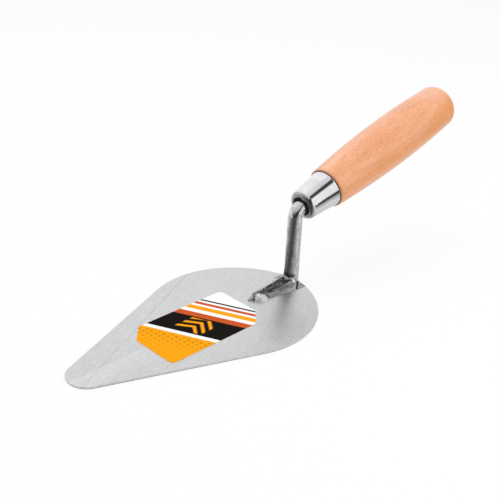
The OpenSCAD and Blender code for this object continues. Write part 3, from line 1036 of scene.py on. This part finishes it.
def handle_profile(s, ferrule, tang_d, tang_hole):
    """The handle's section from the bottom of the tang's hole, out over spigot and grip, to the butt."""
    nick = 0.4 * MM
    seat = ferrule.start + ferrule.long
    grip = seat + s.gap
    spigot = seat - s.spigot_l
    slope = (ferrule.back_d - ferrule.front_d) / 2 / (ferrule.long - ferrule.lip)

    def fitted(run):
        """The spigot's radius inside the ferrule's bore."""
        return ferrule.front_d / 2 - ferrule.wall + slope * (run - ferrule.start - ferrule.lip) - s.fit

    hole = tang_d / 2 + s.hole_fit
    front, top = s.front_d / 2, s.max_d / 2
    drop = top - front
    # The butt's edge rounds between the barrel's long arc and the dome's
    barrel = (s.max_at ** 2 + drop ** 2) / (2 * drop)
    barrel_c = Vector((grip + s.max_at, top - barrel))
    dome_c = Vector((grip + s.long - s.dome_r, 0))
    reach_a, reach_b = barrel - s.edge_r, s.dome_r - s.edge_r
    gap = dome_c - barrel_c
    part = (reach_a ** 2 - reach_b ** 2 + gap.length ** 2) / (2 * gap.length)
    way = gap.normalized()
    edge_c = barrel_c + way * part + Vector((way.y, -way.x)) * math.sqrt(reach_a ** 2 - part ** 2)
    to_edge = math.atan2(edge_c.y - barrel_c.y, edge_c.x - barrel_c.x)
    to_dome = math.atan2(edge_c.y - dome_c.y, edge_c.x - dome_c.x)
    points = [(spigot + tang_hole, 0), (spigot + tang_hole, hole), (spigot, hole)]
    points += [(spigot, fitted(spigot) - nick), (spigot + nick, fitted(spigot)), (grip, fitted(grip))]
    points += arc((grip + s.bevel, front - s.bevel), s.bevel, math.pi, math.pi / 2, 8)
    start = math.atan2(front - barrel_c.y, grip + s.bevel - barrel_c.x)
    points += arc(barrel_c, barrel, start, to_edge, 110)[1:]
    points += arc(edge_c, s.edge_r, to_edge, to_dome, 24)[1:]
    points += arc(dome_c, s.dome_r, to_dome, 0, 18)[1:-1]
    points.append((grip + s.long, 0))
    return points


# Operators


def settings():
    return bpy.context.scene.trowel


class TROWEL_OT_blade(bpy.types.Operator):
    """Builds the ground steel blade"""

    bl_idname = "trowel.blade"
    bl_label = "Blade"

    def execute(self, context):
        s = settings().blade
        mesh = blade_mesh(s)
        smooth(mesh, sharp=30)
        dress(new_object("blade_plate", mesh), ground_steel(s), "blade_steel", "blade")
        return {"FINISHED"}


class TROWEL_OT_shank(bpy.types.Operator):
    """Builds the bent rod and unites it with its forged foot"""

    bl_idname = "trowel.shank"
    bl_label = "Shank"

    def execute(self, context):
        s = settings()
        axis = HandleAxis(s.shank, s.handle)
        spigot = s.ferrule.start + s.ferrule.long - s.handle.spigot_l
        clear_of_blade = 0.02 * MM
        rod_end = s.blade.thick + clear_of_blade
        rod = new_object("shank_forging", rod_mesh(s.shank, axis, s.handle.rise, spigot, rod_end))
        foot = new_object("foot", foot_mesh(s.shank, s.blade.thick))
        joined(rod, foot)
        smooth(rod.data, sharp=40)
        dress(rod, drawn_rod(s.shank, s.blade.thick), "shank_steel", "shank")
        return {"FINISHED"}


class TROWEL_OT_welds(bpy.types.Operator):
    """Builds the weld pool at the nose and the beads beside the foot and the rod"""

    bl_idname = "trowel.welds"
    bl_label = "Welds"

    def execute(self, context):
        s = settings()
        floor = s.blade.thick
        metal = weld_metal(s.weld)
        meshes = {
            "weld_nose": pool_mesh(s.weld, s.shank.foot_l, floor),
            "weld_sides": both_sides("weld_side_beads", lambda side: side_bead(s.weld, s.shank, floor, side)),
            "weld_heel": both_sides("weld_heel_beads", lambda side: heel_bead(s.weld, s.shank, floor, side)),
        }
        for node, mesh in meshes.items():
            smooth(mesh, sharp=50)
            dress(new_object(mesh.name, mesh), metal, "weld_metal", node)
        return {"FINISHED"}


class TROWEL_OT_ferrule(bpy.types.Operator):
    """Builds the plated ferrule"""

    bl_idname = "trowel.ferrule"
    bl_label = "Ferrule"

    def execute(self, context):
        s = settings()
        axis = HandleAxis(s.shank, s.handle)
        mesh = clean_mesh("ferrule_shell", *turned(axis, ferrule_profile(s.ferrule), segments=160, ring=True))
        smooth(mesh, sharp=40)
        dress(new_object("ferrule_shell", mesh), bright_plating(s.ferrule, axis), "ferrule_chrome", "ferrule")
        return {"FINISHED"}


class TROWEL_OT_handle(bpy.types.Operator):
    """Builds the turned wooden handle"""

    bl_idname = "trowel.handle"
    bl_label = "Handle"

    def execute(self, context):
        s = settings()
        axis = HandleAxis(s.shank, s.handle)
        room_behind_tang = 2 * MM
        hole = s.shank.tang_l + room_behind_tang
        profile = handle_profile(s.handle, s.ferrule, s.shank.tang_d, hole)
        mesh = clean_mesh("handle_wood", *turned(axis, profile, segments=144))
        smooth(mesh, sharp=40)
        grip = (s.ferrule.start + s.ferrule.long + s.handle.gap) / MM
        dress(new_object("handle_wood", mesh), turned_beech(s.handle, axis, grip), "handle_wood", "handle")
        return {"FINISHED"}


class TROWEL_OT_label(bpy.types.Operator):
    """Prints the label that the frame holds"""

    bl_idname = "trowel.label"
    bl_label = "Label"

    def execute(self, context):
        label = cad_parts["label"]
        label.data.materials.clear()
        label.data.materials.append(printed_label(settings().label))
        return {"FINISHED"}


def seen_ray(f):
    """1 for rays from the camera, from a mirror or through glass."""
    path = f.node("ShaderNodeLightPath", {}, {}).socket.node
    camera, glossy, through = (
        Value(f, path.outputs[name]) for name in ("Is Camera Ray", "Is Glossy Ray", "Is Transmission Ray")
    )
    return camera.most(glossy).most(through)


def floor_material(s):
    """A pale floor that shows near white and keeps a faint shadow."""
    glow = 0.8
    f = new_finish("pale_floor")
    matt = f.node("ShaderNodeBsdfDiffuse", {}, {"Color": (*s.floor, 1)})
    white = f.node("ShaderNodeEmission", {}, {"Color": (1, 1, 1, 1), "Strength": 1.0})
    f.node("ShaderNodeOutputMaterial", {}, {"Surface": f.blend(seen_ray(f) * glow, matt, white)})
    return f.owner


def card_material():
    """Shows the grey that a card's points hold, and is clear from behind."""
    f = new_finish("card")
    grey = f.node("ShaderNodeAttribute", {"attribute_name": "grey"}, {}, "Color")
    shown = f.node("ShaderNodeEmission", {}, {"Color": grey, "Strength": 1.0})
    behind = f.node("ShaderNodeNewGeometry", {}, {}, "Backfacing")
    clear = f.node("ShaderNodeBsdfTransparent", {}, {})
    f.node("ShaderNodeOutputMaterial", {}, {"Surface": f.blend(behind, shown, clear)})
    return f.owner


def card(name, rows, material):
    """A card through rows of (point, grey) that shows only in reflections."""
    verts = [tuple(point) for row in rows for point, grey in row]
    greys = [grey for row in rows for point, grey in row]
    mesh = bpy.data.meshes.new(name)
    mesh.from_pydata(verts, [], grid_faces(len(rows), len(rows[0]), closed=False))
    mesh.attributes.new("grey", "FLOAT", "POINT").data.foreach_set("value", greys)
    mesh.materials.append(material)
    made = new_object(name, mesh)
    made.visible_camera = made.visible_diffuse = made.visible_shadow = False
    made.visible_transmission = made.visible_volume_scatter = False


def heading(azimuth, elevation):
    """The way toward an azimuth and an elevation in degrees; azimuth 0 looks along -Y and 90 along +X."""
    a, e = math.radians(azimuth), math.radians(elevation)
    return Vector((math.sin(a) * math.cos(e), -math.cos(a) * math.cos(e), math.sin(e)))


def low_cards(material):
    """Cards under the handle's side: a dark upright band, and the floor that fades to white under it."""
    place, wide = Vector((0.252, -0.18, 0.0)), 0.325
    steps = ((0.0, 0.36), (0.018, 0.18), (0.034, 0.04), (0.06, 0.03), (0.076, 1.0))
    card("card_low", [[(place + Vector((end * wide / 2, 0, high)), grey) for end in (1, -1)]
                      for high, grey in steps], material)
    level = 0.3 * MM
    steps = ((-0.18, 0.36), (-0.105, 0.6), (-0.075, 0.73), (-0.05, 0.85), (-0.03, 0.98))
    card("card_floor", [[((x, y, level), grey) for x in (0.055, 0.41)] for y, grey in steps], material)


def wall_card(name, azimuths, top, shade, material):
    """A wall round the rod, up to a height in degrees, with a grey for each azimuth and height."""
    away = 0.8
    rows = [[(ROOM_EYE + heading(turn, high) * away, shade(turn, high)) for turn in azimuths]
            for high in range(0, top + 1, 10)]
    card(name, rows, material)


def gap_card(material):
    """A dark gap between two white walls that narrows upward, and spreads to a grey wing on its left."""
    away = 0.6
    across = heading(22, 57).cross(heading(-42, 14)).normalized()
    middle = heading(-15, 45)
    along = across.cross(middle).normalized()
    rows = []
    for turn in range(-52, 93, 4):
        a = math.radians(turn)
        low = max(0, min(turn, 60) - 8)
        way = middle * math.cos(a) + along * math.sin(a)
        # The gap's half angles, wider toward the ground
        left = math.radians(8 + 37 * (low / 45) ** 1.2)
        right = math.radians(8.5 + 26 * (low / 47) ** 1.2)
        spread = clamped((14 - turn) / 20)
        wing = math.radians(70 * spread)
        steps = (
            (-1.5 * left - wing, 0.76 + 0.24 * spread), (-1.5 * left - wing * 0.35, 0.76 + 0.12 * spread),
            (-1.5 * left, 0.76), (-left, 0.3), (-0.55 * left, 0.05), (0, 0.04),
            (0.55 * right, 0.05), (right, 0.32), (1.5 * right, 1.0),
        )
        row = []
        for b, grey in steps:
            row.append((ROOM_EYE + (way * math.cos(b) + across * math.sin(b)) * away, grey))
        rows.append(row)
    card("card_gap", rows, material)


def ground_cards(material):
    """The dim ground that the rod mirrors: darkest to the left near it, toward the camera farther out."""
    level = Vector((0, 0, 7.5 * MM))
    rows = []
    for reach in (3, 15, 30, 45, 60, 90, 130, 200, 300, 480):
        far = min(1, reach / 60)
        # The azimuth of the darkest ground, and how far the dark reaches to its left and right
        dark_at, left, right = -86 + 31 * far, 140 - 45 * far, 90 - 25 * far
        row = []
        for turn in range(6, -173, -6):
            off = turn - dark_at
            grey = 0.07 + (0.74 * (off / right) ** 1.25 if off > 0 else 0.62 * (off / left) ** 2)
            row.append((heading(turn, 0) * (reach * MM) + level, min(1, grey)))
        rows.append(row)
    card("card_ground", rows, material)
    # Paler ground behind the rod
    steps = ((112, 0.86), (92, 0.72), (75, 0.68), (40, 0.76), (6, 0.73))
    card("card_heel", [[(heading(turn, 0) * reach + level, grey) for turn, grey in steps]
                       for reach in (0.003, 0.095)], material)


def lamp(name, place, toward, size, watts, sheen_on=None):
    """A square soft lamp that faces a point; mirrors miss it, unless it only puts a sheen on one piece."""
    data = bpy.data.lights.new(name, "AREA")
    data.shape, data.size, data.energy = "SQUARE", size, watts
    made = new_object(name, data)
    made.location = place
    made.rotation_euler = (Vector(toward) - Vector(place)).to_track_quat("-Z", "Y").to_euler()
    made.visible_glossy = sheen_on is not None
    if sheen_on:
        made.visible_diffuse = False
        only = bpy.data.collections.new(name)
        only.objects.link(sheen_on)
        made.light_linking.receiver_collection = only


def camera(s):
    """The camera, turned by its azimuth, elevation and roll."""
    data = bpy.data.cameras.new("camera")
    data.sensor_fit, data.sensor_width, data.lens = "HORIZONTAL", 36, s.lens
    data.clip_start, data.clip_end = 0.01, 50
    made = new_object("camera", data)
    back = heading(math.degrees(s.azimuth), math.degrees(s.elevation))
    right = (-back).cross(Vector((0, 0, 1))).normalized()
    up = back.cross(right)
    rolled_right = right * math.cos(s.roll) + up * math.sin(s.roll)
    rolled_up = up * math.cos(s.roll) - right * math.sin(s.roll)
    turn = Matrix((rolled_right, rolled_up, back)).transposed().to_4x4()
    made.matrix_world = Matrix.Translation(s.camera_at) @ turn
    return made


class TROWEL_OT_stage(bpy.types.Operator):
    """Sets the floor, the soft lamps, the cards that the metal mirrors and the camera"""

    bl_idname = "trowel.stage"
    bl_label = "Stage"

    def execute(self, context):
        s = settings().stage
        scene = context.scene
        scene.view_settings.view_transform = "Standard"
        scene.world = scene.world or bpy.data.worlds.new("studio")
        f = Finish(scene.world)
        sky = f.node("ShaderNodeBackground", {}, {
            "Color": (1, 1, 1, 1), "Strength": seen_ray(f) * (1 - s.sky) + s.sky,
        })
        f.node("ShaderNodeOutputWorld", {}, {"Surface": sky})

        half, level = 6.0, -0.05 * MM
        corners = [(x * half, y * half, level) for x, y in ((-1, -1), (1, -1), (1, 1), (-1, 1))]
        mesh = bpy.data.meshes.new("floor")
        mesh.from_pydata(corners, [], [(0, 1, 2, 3)])
        mesh.materials.append(floor_material(s))
        new_object("floor", mesh)

        aim, grip = (0.0, 0.0, 0.06), (0.08, 0, 0.08)
        wood = bpy.data.objects["handle_wood"]
        lamp("key_lamp", (-0.1, 0.25, 1.1), aim, 0.8, s.key)
        lamp("fill_lamp", (0.45, -0.8, 0.55), aim, 0.6, s.fill)
        lamp("sheen_lamp", (0.44, 0.61, 0.79), grip, 0.7, s.sheen, wood)
        # The metal mirrors the white room in place of the wood
        wood.visible_glossy = False
        cards = card_material()
        low_cards(cards)
        # A grey wall on the left, and a paler one on the right that the blade's heel mirrors
        wall_card("card_wall", range(-40, -146, -10), 80, lambda turn, high: (
            0.74 + 0.26 * clamped((-125 - turn) / 15, (10 - high) / 10)), cards)
        wall_card("card_right", range(142, 59, -10), 70, lambda turn, high: (
            0.84 + 0.16 * clamped((turn - 104) / 28, (high - 50) / 20)), cards)
        gap_card(cards)
        ground_cards(cards)
        scene.camera = camera(s)
        return {"FINISHED"}


STEPS = (
    TROWEL_OT_blade, TROWEL_OT_label, TROWEL_OT_shank, TROWEL_OT_welds,
    TROWEL_OT_ferrule, TROWEL_OT_handle, TROWEL_OT_stage,
)


class TROWEL_PT_panel(bpy.types.Panel):
    """Lists the pieces of the trowel"""

    bl_idname = "TROWEL_PT_panel"
    bl_label = "Brick trowel"
    bl_space_type = "VIEW_3D"
    bl_region_type = "UI"
    bl_category = "Trowel"

    def draw(self, context):
        for step in STEPS:
            self.layout.operator(step.bl_idname)
        for group in ("blade", "shank", "weld", "ferrule", "handle", "label", "stage"):
            box = self.layout.box()
            box.label(text=group.title())
            values = getattr(context.scene.trowel, group)
            for name in values.bl_rna.properties.keys():
                if name not in ("rna_type", "name"):
                    box.prop(values, name)


CLASSES = (
    BladeSettings, ShankSettings, WeldSettings, FerruleSettings, HandleSettings, LabelSettings, StageSettings,
    TrowelSettings, *STEPS, TROWEL_PT_panel,
)


def register():
    for made in CLASSES:
        bpy.utils.register_class(made)
    bpy.types.Scene.trowel = PointerProperty(type=TrowelSettings)


def unregister():
    del bpy.types.Scene.trowel
    for made in reversed(CLASSES):
        bpy.utils.unregister_class(made)


def main():
    register()
    bpy.ops.trowel.blade()
    bpy.ops.trowel.label()
    bpy.ops.trowel.shank()
    bpy.ops.trowel.welds()
    bpy.ops.trowel.ferrule()
    bpy.ops.trowel.handle()
    bpy.ops.trowel.stage()


if __name__ == "__main__":
    main()
